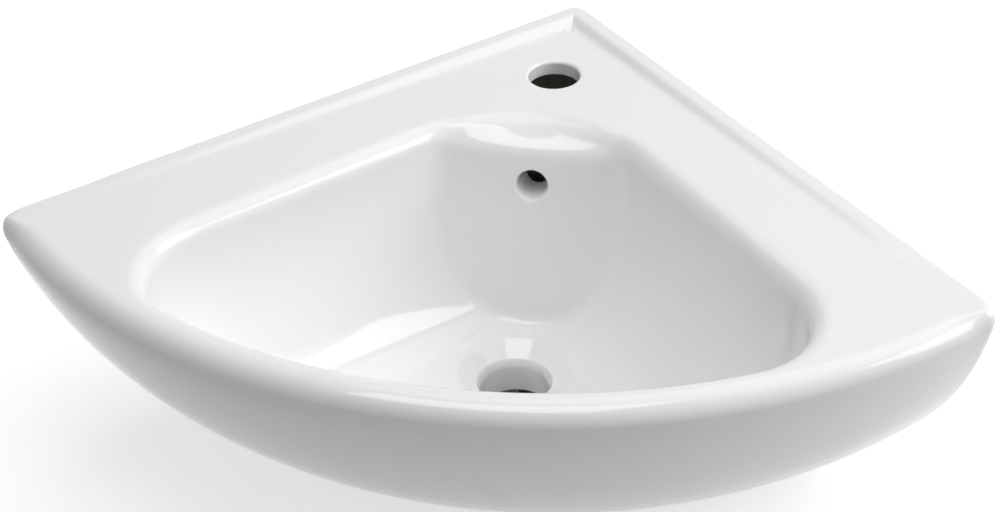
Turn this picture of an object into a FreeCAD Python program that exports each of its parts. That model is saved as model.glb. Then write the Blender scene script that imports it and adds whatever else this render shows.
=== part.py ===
import FreeCAD, Part
import math
import os

import Sketcher
from FreeCAD import Placement, Rotation, Vector

# Corner wash basin of glazed china, with the two fixings that hang it on the walls of a room corner.
# X runs left to right, -Y runs out of the corner along the diagonal, +Z is up. The origin is the point
# where both wall planes meet the top of the wall ledges. Lengths are millimetres, angles are degrees.

doc = FreeCAD.newDocument("CornerBasin")

drivingSizes = [
    # rim, deck and apron
    ("wallSide", 450, "room corner to rim tip, along each wall"),
    ("frontReach", 472, "room corner to the front of the rim, on the diagonal"),
    ("bodyHeight", 195, "top of the wall ledges to the underside"),
    ("deckDepth", 4.8, "top of the wall ledges down to the deck"),
    ("deckThickness", 10, "china of the deck"),
    ("rimRound", 8, "rounding of the rim's outer edge"),
    ("cornerRound", 9, "rounding of the vertical edge in the room corner"),
    ("apronLean", 15, "inward lean of the apron just below the rim"),
    ("footReach", 58, "waste outlet's axis to the front of the foot ring"),
    ("footWidth", 26, "width of the flat foot ring"),
    ("footStep", 5, "height of the foot ring's inner step"),
    ("apronWall", 11, "china of the apron behind the rim"),
    ("flangeWall", 12, "china of the flanges that bear on the walls"),
    ("flangeDepth", 125, "top of the wall ledges to the lower edge of the flanges"),
    ("ledgeWidth", 11, "flat top of each wall ledge"),
    ("ledgeRun", 4, "slope between ledge and deck"),
    ("ledgeLength", 400, "room corner to the end of each ledge"),
    ("ledgeFade", 0.6, "height that is left of the ledge at its end"),
    # bowl
    ("bowlDepth", 140, "deck down to the bowl's floor"),
    ("bowlFullness", 2.25, "exponent of the wall profile; 2 is an ellipse, more is boxier"),
    ("sideAngle", 42.34, "between each straight side of the bowl and the diagonal"),
    ("sideGap", 68.3, "room corner to the line of each straight side"),
    ("floorSide", 29.4, "waste outlet's axis to each side of the floor"),
    ("rimWidth", 29, "front of the rim back to the bowl's edge"),
    ("floorFront", 39, "waste outlet's axis to the front of the floor"),
    ("backRound", 60, "plan radius of the bowl's back corner at the deck"),
    ("frontRound", 70, "plan radius of the bowl's front corners at the deck"),
    ("floorRound", 28, "plan radius of all corners at the floor"),
    ("bowlWall", 10, "china of the bowl"),
    ("edgeRound", 6, "rounding where the deck turns down into the bowl"),
    # overflow panel across the bowl's back corner
    ("panelReach", 170, "room corner to the panel's top edge, on the diagonal"),
    ("panelTop", 22.6, "top of the wall ledges to the panel's top edge"),
    ("panelLean", 0.16, "forward slope of the panel per unit of depth"),
    ("panelHalfWidth", 62.5, "half the panel's top edge"),
    ("panelRound", 8, "how far the soft corner of the top edge reaches to either side"),
    ("panelPeak", 26, "how much further back the deck's edge lies on the diagonal"),
    # holes
    ("tapReach", 90, "room corner to the tap hole's axis"),
    ("tapHole", 35, "diameter of the tap hole"),
    ("wasteReach", 243, "room corner to the waste outlet's axis"),
    ("wasteBore", 46, "diameter of the waste outlet"),
    ("wasteRecess", 76, "diameter of the sunk seat around the waste outlet"),
    ("wasteSeatDrop", 8, "depth of the sunk seat"),
    ("wasteEase", 2, "bevel where the seat turns down into the outlet"),
    ("wasteLip", 24, "height of the waste outlet's round wall"),
    ("wasteChamber", 64, "diameter of the overflow chamber below the outlet"),
    ("wasteBoss", 110, "diameter of the china around the outlet"),
    ("overflowHole", 21, "diameter of the overflow hole"),
    ("overflowDepth", 42, "top of the wall ledges to the overflow hole's axis"),
    ("holeEase", 1.5, "rounding of the tap hole's and the outlet's upper edges"),
    ("ductReach", 141, "room corner to the overflow duct's axis"),
    ("ductBore", 22, "diameter of the overflow duct"),
    ("ductWall", 8, "china around the overflow duct"),
    ("ductOutlet", 10, "diameter of the passage from duct to chamber"),
    ("ductOutletRise", 11, "underside up to the axis of that passage"),
    ("ductSump", 1.5, "duct left below that passage"),
    # fixings
    ("fixingReach", 200, "room corner to each fixing, along the wall"),
    ("fixingDepth", 90, "top of the wall ledges to the fixings' axes"),
    ("fixingHole", 18, "diameter of the hole in the flange"),
    ("bushSlack", 0.4, "hole diameter over bush diameter"),
    ("bushRim", 30, "diameter of the bush's rim"),
    ("bushRimHeight", 3, "thickness of the bush's rim"),
    ("boltDiameter", 10, "major diameter of the hanger bolt"),
    ("boltSlack", 0.4, "bush, washer and nut bore over bolt diameter"),
    ("boltInWall", 60, "length of the bolt inside the room's wall"),
    ("boltSpare", 12, "bolt left standing beyond the nut"),
    ("threadFit", 0.1, "nut and plug bore over bolt diameter"),
    ("threadFoot", 8, "plain shank between the two threads"),
    ("threadPitch", 1.5, "pitch of the machine thread"),
    ("threadDepth", 0.9, "depth of the machine thread"),
    ("woodPitch", 4, "pitch of the wood thread"),
    ("woodDepth", 1.4, "depth of the wood thread"),
    ("pointLength", 9, "length of the wood thread's point"),
    ("washerDiameter", 24, "outside diameter of the flat washer"),
    ("washerHeight", 2, "thickness of the flat washer"),
    ("nutWidth", 17, "width across the nut's flats"),
    ("nutHeight", 8, "height of the nut"),
    ("nutBevel", 1, "bevel on the nut's corners"),
    ("plugDiameter", 14, "outside diameter of the wall plug"),
    ("plugLength", 70, "length of the wall plug"),
    ("plugRim", 17, "diameter of the wall plug's collar"),
    ("plugRimHeight", 1.5, "thickness of the wall plug's collar"),
    ("plugTaper", 6, "length of the plug's tapered end"),
    ("plugBoreSpare", 3, "bore left beyond the point of the bolt"),
    ("plugSlitTop", 12, "wall down to the start of the slit"),
    ("plugSlit", 2, "width of the slit that lets the plug spread"),
    ("plugSlitLength", 45, "length of that slit"),
    ("contactGap", 0.05, "air left between faces that bear on each other"),
]

sheet = doc.addObject("Spreadsheet::Sheet", "Sizes")
for row, (alias, value, meaning) in enumerate(drivingSizes, start=1):
    sheet.set(f"A{row}", meaning)
    sheet.set(f"B{row}", str(value))
    sheet.setAlias(f"B{row}", alias)
doc.recompute()


def size(expression):
    """The value of an expression over the sheet's sizes, in mm or degrees."""
    result = sheet.evalExpression(expression)
    return float(getattr(result, "Value", result))


def of(alias):
    return f"Sizes.{alias}"


# The rim is an arc about a vertical axis on the diagonal, through both tips and the front.
halfSpan = "(Sizes.wallSide / sqrt(2))"
rimCentre = f"((Sizes.wallSide ^ 2 - Sizes.frontReach ^ 2) / (2 * ({halfSpan} - Sizes.frontReach)))"
rimRadius = f"(Sizes.frontReach - {rimCentre})"
footInset = "(Sizes.frontReach - Sizes.wasteReach - Sizes.footReach)"
frontShrink = "(Sizes.frontReach - Sizes.rimWidth - Sizes.wasteReach - Sizes.floorFront)"
sideShrink = "(Sizes.wasteReach * sin(Sizes.sideAngle * 1 deg) - Sizes.sideGap - Sizes.floorSide)"
deckUnderside = "(Sizes.deckDepth + Sizes.deckThickness)"
clearance = 20  # how far a cutting shape reaches past what it cuts
overlap = 0.1  # how far the panel's flat top stands over the deck
sides = {"left": -1, "right": 1}
tolerance = 0.01  # how near a point has to be to count as the same


# ---- helpers -------------------------------------------------------------------------------------


def addBody(label, placement=None):
    body = doc.addObject("PartDesign::Body", label)
    body.Label = label
    if placement:
        body.Placement = placement
    return body


def addSketch(body, name, role, alongNormal=None, turn=None):
    """A sketch on one of the body's origin planes, moved along its normal and turned about its y axis."""
    sketch = body.newObject("Sketcher::SketchObject", name)
    plane = next(f for f in body.Origin.OriginFeatures if f.Role == role)
    sketch.AttachmentSupport = (plane, "")
    sketch.MapMode = "FlatFace"
    if turn is not None:
        sketch.AttachmentOffset = Placement(Vector(), Rotation(Vector(0, 1, 0), turn))
    if alongNormal is not None:
        sketch.setExpression("AttachmentOffset.Base.z", alongNormal)
    return sketch


def bind(sketch, kind, where, name, expression, angle=False):
    """A named dimension on a sketch that follows an expression."""
    value = size(expression)
    index = sketch.addConstraint(Sketcher.Constraint(kind, *where, math.radians(value) if angle else value))
    sketch.renameConstraint(index, name)
    sketch.setExpression(f"Constraints.{name}", f"({expression}) * 1 deg" if angle else expression)


def addPolygon(sketch, corners):
    """A closed outline of straight edges whose corners are pairs of expressions."""
    points = [Vector(size(x), size(y), 0) for x, y in corners]
    count = len(points)
    for k in range(count):
        sketch.addGeometry(Part.LineSegment(points[k], points[(k + 1) % count]), False)
    for k in range(count):
        sketch.addConstraint(Sketcher.Constraint("Coincident", k, 2, (k + 1) % count, 1))
    for k, (x, y) in enumerate(corners):
        placePoint(sketch, k, 1, x, y, f"corner{k}")


def placePoint(sketch, geometry, end, x, y, name):
    """Ties one point of a sketch to a pair of expressions measured from the sketch's origin."""
    for kind, axis, letter, expression in (("DistanceX", -2, "X", x), ("DistanceY", -1, "Y", y)):
        if expression == "0":
            sketch.addConstraint(Sketcher.Constraint("PointOnObject", geometry, end, axis))
        else:
            bind(sketch, kind, (-1, 1, geometry, end), name + letter, expression)


def addCircle(sketch, x, y, diameter):
    centre = Vector(size(x), size(y), 0)
    sketch.addGeometry(Part.Circle(centre, Vector(0, 0, 1), size(diameter) / 2), False)
    bind(sketch, "Diameter", (0,), "across", diameter)
    placePoint(sketch, 0, 3, x, y, "centre")


def addRevolved(label, corners, placement=None, alongNormal=None):
    """A turned piece: its half section about an upright axis of the body is a polygon."""
    body = addBody(label, placement)
    sketch = addSketch(body, label + "Section", "XZ_Plane", alongNormal)
    addPolygon(sketch, corners)
    revolve(body, sketch, label + "Turned")
    return body


def revolve(body, sketch, name):
    turned = body.newObject("PartDesign::Revolution", name)
    turned.Profile = sketch
    turned.ReferenceAxis = (sketch, ["V_Axis"])
    turned.Angle = 360
    return turned


def pad(body, sketch, name, length, reverse=False):
    solid = body.newObject("PartDesign::Pad", name)
    solid.Profile = sketch
    solid.setExpression("Length", length)
    solid.Reversed = reverse
    return solid


def pocket(body, sketch, name, length, reverse=False, bothWays=False):
    cut = body.newObject("PartDesign::Pocket", name)
    cut.Profile = sketch
    cut.setExpression("Length", length)
    cut.Reversed = reverse
    cut.Midplane = bothWays
    return cut


def roundEdges(body, base, name, radius, wanted):
    """A fillet on the edges of a feature that pass a test."""
    names = [f"Edge{k + 1}" for k, edge in enumerate(base.Shape.Edges) if wanted(edge)]
    fillet = body.newObject("PartDesign::Fillet", name)
    fillet.Base = (base, names)
    fillet.setExpression("Radius", radius)
    return fillet


def isUpright(edge, x, y):
    """Whether an edge stands on one point of the plan."""
    return all(math.hypot(v.X - x, v.Y - y) < tolerance for v in edge.Vertexes)


def combine(kind, name, first, second):
    """A boolean of two shapes: Part::Cut, Part::Common or Part::Fuse."""
    result = doc.addObject(kind, name)
    result.Base = first
    result.Tool = second
    return result


def fuseAll(name, shapes):
    result = doc.addObject("Part::MultiFuse", name)
    result.Shapes = shapes
    return result


# ---- apron and walls -----------------------------------------------------------------------------


def addApron(label, inset, top, rounding, foot, bottom):
    """The basin's outside as a solid of revolution: flat top, rounded edge, apron arc, flat bottom."""
    body = addBody(label)
    sketch = addSketch(body, label + "Section", "XZ_Plane", rimCentre)
    radius = f"({rimRadius} - {inset})"
    edgeX = size(f"{radius} - {rounding}")
    edgeY = -size(f"{top} + {rounding}")
    round_, lean = size(rounding), math.radians(size("Sizes.apronLean"))
    out = Vector(math.cos(lean), -math.sin(lean), 0)
    edgeCentre = Vector(edgeX, edgeY, 0)
    joint = edgeCentre + out * round_
    end = Vector(size(f"{rimRadius} - {foot}"), -size(bottom), 0)
    # the apron arc is tangent to the edge's rounding at the joint and passes through the foot
    chord = end - joint
    apronRadius = -chord.dot(chord) / (2 * chord.dot(out))
    apronCentre = joint - out * apronRadius
    up = Vector(0, 0, 1)
    toEnd = math.atan2(end.y - apronCentre.y, end.x - apronCentre.x)
    topStart, axisFoot = Vector(0, -size(top), 0), Vector(0, end.y, 0)
    sketch.addGeometry(Part.LineSegment(axisFoot, end), False)
    sketch.addGeometry(Part.ArcOfCircle(Part.Circle(apronCentre, up, apronRadius), toEnd, -lean), False)
    sketch.addGeometry(Part.ArcOfCircle(Part.Circle(edgeCentre, up, round_), -lean, math.pi / 2), False)
    sketch.addGeometry(Part.LineSegment(Vector(edgeX, topStart.y, 0), topStart), False)
    sketch.addGeometry(Part.LineSegment(topStart, axisFoot), False)
    bottomLine, apronArc, edgeArc, topLine, axisLine = range(5)
    for kind, first, second in (
        ("Coincident", bottomLine, apronArc),
        ("Tangent", apronArc, edgeArc),
        ("Tangent", edgeArc, topLine),
        ("Coincident", topLine, axisLine),
        ("Coincident", axisLine, bottomLine),
    ):
        sketch.addConstraint(Sketcher.Constraint(kind, first, 2, second, 1))
    sketch.addConstraint(Sketcher.Constraint("Horizontal", topLine))
    placePoint(sketch, axisLine, 1, "0", f"-{top}", "top")
    placePoint(sketch, bottomLine, 1, "0", f"-{bottom}", "underside")
    placePoint(sketch, bottomLine, 2, f"{rimRadius} - {foot}", f"-{bottom}", "foot")
    bind(sketch, "Radius", (edgeArc,), "rounding", rounding)
    bind(sketch, "DistanceX", (-1, 1, edgeArc, 3), "reach", f"{radius} - {rounding}")
    bind(sketch, "DistanceY", (apronArc, 2, edgeArc, 3), "lean", f"{rounding} * sin(Sizes.apronLean * 1 deg)")
    revolve(body, sketch, label + "Turned")
    return body


def addRoomWedge(label, inset, top, bottom, rounding=None):
    """The quarter space between the two walls, kept back from them by inset, from top to bottom."""
    body = addBody(label, Placement(Vector(), Rotation(Vector(0, 0, 1), -135)))
    sketch = addSketch(body, label + "Plan", "XY_Plane", f"-{bottom}")
    near, far = inset, of("frontReach")
    addPolygon(sketch, [(near, near), (far, near), (far, far), (near, far)])
    block = pad(body, sketch, label + "Block", f"{bottom} - {top}")
    if rounding:
        doc.recompute()
        roundEdges(body, block, label + "Rounded", rounding, lambda edge: isUpright(edge, size(near), size(near)))
    return body


def addLedge(label, side):
    """A raised bar along one wall whose height fades towards the rim's tip."""
    body = addBody(label, Placement(Vector(), Rotation(Vector(0, 0, 1), -90 + side * 45)))
    sections = []
    for name, along, height in (
        ("Near", "0", of("deckDepth")),
        ("Far", of("ledgeLength"), of("ledgeFade")),
    ):
        sketch = addSketch(body, label + name, "YZ_Plane", along)
        root = f"-{side} * ({of('ledgeWidth')} + {of('ledgeRun')})"
        addPolygon(
            sketch,
            [
                ("0", f"-{deckUnderside}"),
                (root, f"-{deckUnderside}"),
                (root, f"-{of('deckDepth')}"),
                (f"-{side} * {of('ledgeWidth')}", f"{height} - {of('deckDepth')}"),
                ("0", f"{height} - {of('deckDepth')}"),
            ],
        )
        sections.append(sketch)
    bar = body.newObject("PartDesign::AdditiveLoft", label + "Bar")
    bar.Profile = sections[0]
    bar.Sections = sections[1:]
    return body


outside = addApron("outside", "0", of("deckDepth"), of("rimRound"), footInset, of("bodyHeight"))
ledgeRight = addLedge("ledgeRight", 1)
ledgeLeft = addLedge("ledgeLeft", -1)
roomWedge = addRoomWedge("roomWedge", "0", "0", of("bodyHeight"), of("cornerRound"))
blank = combine("Part::Common", "blank", fuseAll("skinAndLedges", [outside, ledgeRight, ledgeLeft]), roomWedge)


# The bowl's outlines are all the same rounded triangle: two straight sides, a round back corner and
# two round front corners on a wide front arc. It shrinks from deck to floor along a superellipse.


def wallAt(turn):
    """How far down and how far in the wall has come at one point of its profile, both from 0 to 1."""
    power = f"(2 / {of('bowlFullness')})"
    return f"(sin({turn} deg) ^ {power})", f"(1 - cos({turn} deg) ^ {power})"


def addOutline(body, name, depth, shrink, grow):
    """One outline of the bowl, grown outward all round by a distance."""
    sketch = addSketch(body, name, "XY_Plane", f"-{depth}")
    gap = f"({of('sideGap')} + {sideShrink} * {shrink} - {grow})"
    backR = f"({of('backRound')} + ({of('floorRound')} - {of('backRound')}) * {shrink} + {grow})"
    cornerR = f"({of('frontRound')} + ({of('floorRound')} - {of('frontRound')}) * {shrink} + {grow})"
    frontR = f"({rimRadius} - {of('rimWidth')} - {frontShrink} * {shrink} + {grow})"

    gapMm, back, corner, front = size(gap), size(backR), size(cornerR), size(frontR)
    slant = math.radians(size(of("sideAngle")))
    normal = Vector(math.cos(slant), math.sin(slant), 0)
    frontCentre = Vector(0, -size(rimCentre), 0)
    backCentre = Vector(0, -(gapMm + back) / normal.y, 0)
    away = (-gapMm - corner - frontCentre.dot(normal)) / (front - corner)
    bearing = slant - math.acos(away)
    toCorner = Vector(math.cos(bearing), math.sin(bearing), 0)
    cornerCentre = frontCentre + toCorner * (front - corner)
    sideFront, sideBack = cornerCentre + normal * corner, backCentre + normal * back

    def mirrored(point):
        return Vector(-point.x, point.y, 0)

    def arc(centre, radius, first, last):
        return Part.ArcOfCircle(Part.Circle(centre, Vector(0, 0, 1), radius), first, last)

    half = math.pi
    sketch.addGeometry(Part.LineSegment(sideFront, sideBack), False)
    sketch.addGeometry(arc(backCentre, back, slant, half - slant), False)
    sketch.addGeometry(Part.LineSegment(mirrored(sideBack), mirrored(sideFront)), False)
    sketch.addGeometry(arc(mirrored(cornerCentre), corner, half - slant, half - bearing), False)
    sketch.addGeometry(arc(frontCentre, front, -half - bearing, bearing), False)
    sketch.addGeometry(arc(cornerCentre, corner, bearing, slant), False)
    rightSide, backArc, leftSide, leftCorner, frontArc, rightCorner = range(6)
    for edge in range(6):
        sketch.addConstraint(Sketcher.Constraint("Tangent", edge, 2, (edge + 1) % 6, 1))
    bind(sketch, "Angle", (rightSide,), "rightSlant", f"90 + {of('sideAngle')}", angle=True)
    bind(sketch, "Angle", (leftSide,), "leftSlant", f"-90 - {of('sideAngle')}", angle=True)
    bind(sketch, "Distance", (-1, 1, rightSide), "rightGap", gap)
    bind(sketch, "Distance", (-1, 1, leftSide), "leftGap", gap)
    bind(sketch, "Radius", (backArc,), "backRadius", backR)
    bind(sketch, "Radius", (leftCorner,), "leftRadius", cornerR)
    bind(sketch, "Radius", (rightCorner,), "rightRadius", cornerR)
    bind(sketch, "Radius", (frontArc,), "frontRadius", frontR)
    placePoint(sketch, frontArc, 3, "0", f"-{rimCentre}", "frontCentre")
    return sketch


def loft(body, name, sections, ruled=False):
    solid = body.newObject("PartDesign::AdditiveLoft", name)
    solid.Profile = sections[0]
    solid.Sections = sections[1:]
    solid.Ruled = ruled
    return solid


profileTurns = [14, 26, 37, 47, 56, 64, 71, 77, 83, 90]  # degrees along the superellipse, deck to floor
edgeTurns = [15, 40, 65, 90]  # degrees round the deck's edge


def addBowl(label, grow, top, edge):
    """The bowl's inside, or its outer shell when grown, from a start depth down to its floor."""
    body = addBody(label)
    start = f"({top} + {edge})"
    sections = [addOutline(body, label + "Start", start, "0", grow)]
    for turn in profileTurns:
        down, inward = wallAt(turn)
        depth = f"({of('deckDepth')} + ({of('bowlDepth')} + {grow}) * {down})"
        sections.append(addOutline(body, f"{label}At{turn}", depth, inward, grow))
    loft(body, label + "Walls", sections)
    return body


edgeDrop = f"({of('edgeRound')} * cos({edgeTurns[0]} deg))"
bowlInside = addBowl("bowlInside", "0", of("deckDepth"), edgeDrop)
edgeOutlines = []
for turn in edgeTurns:
    spread = f"({of('edgeRound')} * (1 - sin({turn} deg)))"
    sunk = f"({of('deckDepth')} + {edgeDrop} - {of('edgeRound')} * cos({turn} deg))"
    edgeOutlines.append(addOutline(bowlInside, f"edgeAt{turn}", sunk, "0", spread))
loft(bowlInside, "edgeRoll", edgeOutlines)
pad(bowlInside, edgeOutlines[0], "overDeck", str(clearance))


# The overflow panel is china that fills the bowl's back corner: a flat shield below a straight top
# edge, and above that edge two facets that twist up to the deck and meet in a soft valley.


def bend(corner, before, after, reach):
    """Points of a soft corner; before and after are the directions that lead away from it."""
    points = []
    for share in (0, 0.25, 0.5, 0.75, 1):
        first, last = (1 - share) ** 2, share**2
        points.append(
            tuple(f"{c} + {reach} * ({first} * {u} + {last} * {v})" for c, u, v in zip(corner, before, after))
        )
    return points


def addPanelBlock():
    body = addBody("panelBlock")
    sections = []
    inner = of("panelHalfWidth")
    outer = f"({inner} + {clearance})"
    drop = f"({of('panelTop')} - {of('deckDepth')})"
    low = f"({of('deckDepth')} + {of('bowlDepth')} + {clearance})"
    flatTop = f"({overlap} - {of('deckDepth')})"
    upright = f"atan({of('panelLean')})"
    downPanel = (f"(-sin({upright}))", f"(-cos({upright}))")
    for name, across, peak in (
        ("FarLeft", f"-{outer}", "0"),
        ("Left", f"-{inner}", "0"),
        ("Middle", "0", of("panelPeak")),
        ("Right", inner, "0"),
        ("FarRight", outer, "0"),
    ):
        sketch = addSketch(body, "panel" + name, "YZ_Plane", across)
        slope = f"({peak} / {drop})"
        facet = f"atan({slope})"
        upFacet = (f"sin({facet})", f"cos({facet})")
        downFacet = (f"(-sin({facet}))", f"(-cos({facet}))")
        deckCorner = (f"{peak} - {of('panelReach')} + {overlap} * {slope}", flatTop)
        topEdge = (f"-{of('panelReach')}", f"-{of('panelTop')}")
        addPolygon(
            sketch,
            [
                ("0", flatTop),
                *bend(deckCorner, ("1", "0"), downFacet, of("edgeRound")),
                *bend(topEdge, upFacet, downPanel, of("panelRound")),
                (f"-{of('panelReach')} - {of('panelLean')} * ({low} - {of('panelTop')})", f"-{low}"),
                ("0", f"-{low}"),
            ],
        )
        sections.append(sketch)
    loft(body, "panelSolid", sections, ruled=True)
    return body


panelBlock = addPanelBlock()
bowlCavity = combine("Part::Cut", "bowlCavity", bowlInside, panelBlock)

# The hollow under the deck is everything inside the apron and the wall flanges that is not bowl,
# waste boss or overflow duct. It is open from below, and to the walls below the flanges.

bowlShell = addBowl("bowlShell", of("bowlWall"), of("deckDepth"), "0")
foot = f"({footInset} + {of('footWidth')})"
innerApron = addApron(
    "innerApron", of("apronWall"), deckUnderside, of("rimRound"), foot, f"({of('bodyHeight')} - {of('footStep')})"
)
footOpening = doc.addObject("Part::Cylinder", "footOpening")
footOpening.setExpression("Radius", f"{rimRadius} - {foot}")
footOpening.setExpression("Height", f"2 * {of('footStep')}")
footOpening.setExpression("Placement.Base.y", f"-{rimCentre}")
footOpening.setExpression("Placement.Base.z", f"-{of('bodyHeight')} - {of('footStep')}")
upperWedge = addRoomWedge("upperWedge", of("flangeWall"), deckUnderside, of("flangeDepth"), of("cornerRound"))
lowerWedge = addRoomWedge(
    "lowerWedge", f"(-{clearance})", of("flangeDepth"), f"({of('bodyHeight')} + {clearance})"
)
underDeck = combine(
    "Part::Common",
    "underDeck",
    fuseAll("apronSpace", [innerApron, footOpening]),
    fuseAll("wallSpace", [upperWedge, lowerWedge]),
)

floorDepth = f"({of('deckDepth')} + {of('bowlDepth')})"
seatDepth = f"({floorDepth} + {of('wasteSeatDrop')})"
lipDepth = f"({seatDepth} + {of('wasteLip')})"


def addPost(label, x, y, diameter, top, bottom):
    """An upright cylinder between two depths."""
    body = addBody(label)
    sketch = addSketch(body, label + "Plan", "XY_Plane", f"-{bottom}")
    addCircle(sketch, x, y, diameter)
    pad(body, sketch, label + "Solid", f"{bottom} - {top}")
    return body


def addPassage(label, x, z, diameter, near, far):
    """A level cylinder along the diagonal, from one distance from the room corner to another."""
    body = addBody(label)
    sketch = addSketch(body, label + "Section", "XZ_Plane", near)
    addCircle(sketch, x, z, diameter)
    pad(body, sketch, label + "Solid", f"{far} - {near}")
    return body


ductOutside = f"({of('ductBore')} + 2 * {of('ductWall')})"
wasteBossPost = addPost(
    "wasteBossPost", "0", f"-{of('wasteReach')}", of("wasteBoss"), floorDepth, of("bodyHeight")
)
ductPost = addPost(
    "ductPost", "0", f"-{of('ductReach')}", ductOutside, of("deckDepth"), of("bodyHeight")
)
bridge = doc.addObject("Part::Box", "bridge")
bridge.setExpression("Length", ductOutside)
bridge.setExpression("Width", f"{of('wasteReach')} - {of('ductReach')}")
bridge.setExpression("Height", f"{of('bodyHeight')} - {floorDepth}")
bridge.setExpression("Placement.Base.x", f"-{ductOutside} / 2")
bridge.setExpression("Placement.Base.y", f"-{of('wasteReach')}")
bridge.setExpression("Placement.Base.z", f"-{of('bodyHeight')}")
keptChina = fuseAll("keptChina", [bowlShell, wasteBossPost, ductPost, bridge])
hollow = combine("Part::Cut", "hollow", underDeck, keptChina)

# Holes. The waste outlet has a sunk conical seat, an eased edge, a round wall and a wider chamber
# below, which the overflow duct enters from behind.

wasteCut = addRevolved(
    "wasteCut",
    [
        ("0", f"{of('wasteSeatDrop')} - {floorDepth}"),
        (f"{of('wasteRecess')} / 2", f"{of('wasteSeatDrop')} - {floorDepth}"),
        (f"{of('wasteRecess')} / 2", f"-{floorDepth}"),
        (f"{of('wasteBore')} / 2 + {of('wasteEase')}", f"-{seatDepth}"),
        (f"{of('wasteBore')} / 2", f"-({seatDepth} + {of('wasteEase')})"),
        (f"{of('wasteBore')} / 2", f"-{lipDepth}"),
        (f"{of('wasteChamber')} / 2", f"-{lipDepth}"),
        (f"{of('wasteChamber')} / 2", f"-({of('bodyHeight')} + {clearance})"),
        ("0", f"-({of('bodyHeight')} + {clearance})"),
    ],
    alongNormal=of("wasteReach"),
)
tapCut = addPost(
    "tapCut", "0", f"-{of('tapReach')}", of("tapHole"), f"(-{clearance})", f"({deckUnderside} + {clearance})"
)
overflowCut = addPassage(
    "overflowCut", "0", f"-{of('overflowDepth')}", of("overflowHole"), of("ductReach"),
    f"({of('panelReach')} + {clearance})",
)
ductEnd = f"({of('bodyHeight')} - {of('ductOutletRise')} + {of('ductOutlet')} / 2 + {of('ductSump')})"
ductCut = addPost(
    "ductCut", "0", f"-{of('ductReach')}", of("ductBore"),
    f"({of('overflowDepth')} - {of('overflowHole')} / 2)", ductEnd,
)
outletCut = addPassage(
    "outletCut", "0", f"{of('ductOutletRise')} - {of('bodyHeight')}", of("ductOutlet"),
    of("ductReach"), of("wasteReach"),
)


# Fixings. Each has its own frame on the face that bears on the wall, with +Z into the room.


def wallFrame(side):
    """Where the axis of one fixing meets its wall; side is 1 on the right and -1 on the left."""
    outward = Rotation(Vector(0, 0, 1), Vector(-side, -1, 0))
    return Placement(Vector(), outward)


def placeOnWall(piece, side):
    piece.setExpression("Placement.Base.x", f"{side} * {of('fixingReach')} / sqrt(2)")
    piece.setExpression("Placement.Base.y", f"-{of('fixingReach')} / sqrt(2)")
    piece.setExpression("Placement.Base.z", f"-{of('fixingDepth')}")
    return piece


def addFixingCut(side, name):
    hole = doc.addObject("Part::Cylinder", "fixingCut" + name)
    hole.setExpression("Radius", f"{of('fixingHole')} / 2")
    hole.setExpression("Height", f"{of('flangeWall')} + 2 * {clearance}")
    hole.Placement = wallFrame(side)
    half = f"{clearance} / sqrt(2)"
    hole.setExpression("Placement.Base.x", f"{side} * ({of('fixingReach')} / sqrt(2) + {half})")
    hole.setExpression("Placement.Base.y", f"-{of('fixingReach')} / sqrt(2) + {half}")
    hole.setExpression("Placement.Base.z", f"-{of('fixingDepth')}")
    return hole


fixingCuts = [addFixingCut(side, name) for name, side in sides.items()]

cutters = [
    ("cavity", bowlCavity),
    ("underside", hollow),
    ("waste", wasteCut),
    ("tap", tapCut),
    ("overflow", overflowCut),
    ("duct", ductCut),
    ("ductOutlet", outletCut),
    *(("fixing" + name, cut) for name, cut in zip(sides, fixingCuts)),
]
china = blank
for name, cutter in cutters:
    china = combine("Part::Cut", name + "Removed", china, cutter)
doc.recompute()

# Glaze runs soft round the edges of the holes.


def isRing(edge, centre, radius):
    """Whether an edge is a circle of one radius about an upright axis."""
    first, last = edge.ParameterRange
    points = [edge.valueAt(first + (last - first) * k / 4) for k in range(5)]
    return all(abs(math.hypot(p.x - centre.x, p.y - centre.y) - radius) < tolerance for p in points)


basin = addBody("basin_body")
basin.BaseFeature = china
doc.recompute()
rings = {
    "Tap": (size(of("tapReach")), size(f"{of('tapHole')} / 2")),
    "Seat": (size(of("wasteReach")), size(f"{of('wasteBore')} / 2 + {of('wasteEase')}")),
}
for name, (reach, radius) in rings.items():
    centre = Vector(0, -reach, 0)
    roundEdges(basin, basin.Tip, "soft" + name, of("holeEase"), lambda edge: isRing(edge, centre, radius))
    doc.recompute()

# Every height below is measured from the wall face, along the fixing's own axis.
bushTop = f"({of('flangeWall')} + {of('contactGap')} + {of('bushRimHeight')})"
washerFoot = f"({bushTop} + {of('contactGap')})"
nutFoot = f"({washerFoot} + {of('washerHeight')} + {of('contactGap')})"
nutTop = f"({nutFoot} + {of('nutHeight')})"
boltTop = f"({nutTop} + {of('boltSpare')})"
passing = f"(({of('boltDiameter')} + {of('boltSlack')}) / 2)"
boltRadius = f"({of('boltDiameter')} / 2)"


def addBush(side, name):
    sleeve = f"(({of('fixingHole')} - {of('bushSlack')}) / 2)"
    rimFoot = f"({bushTop} - {of('bushRimHeight')})"
    corners = [
        (passing, of("contactGap")),
        (sleeve, of("contactGap")),
        (sleeve, rimFoot),
        (f"{of('bushRim')} / 2", rimFoot),
        (f"{of('bushRim')} / 2", bushTop),
        (passing, bushTop),
    ]
    return placeOnWall(addRevolved("bush_" + name, corners, wallFrame(side)), side)


def addWasher(side, name):
    top = f"({washerFoot} + {of('washerHeight')})"
    outer = f"{of('washerDiameter')} / 2"
    corners = [(passing, washerFoot), (outer, washerFoot), (outer, top), (passing, top)]
    return placeOnWall(addRevolved("washer_" + name, corners, wallFrame(side)), side)


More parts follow.
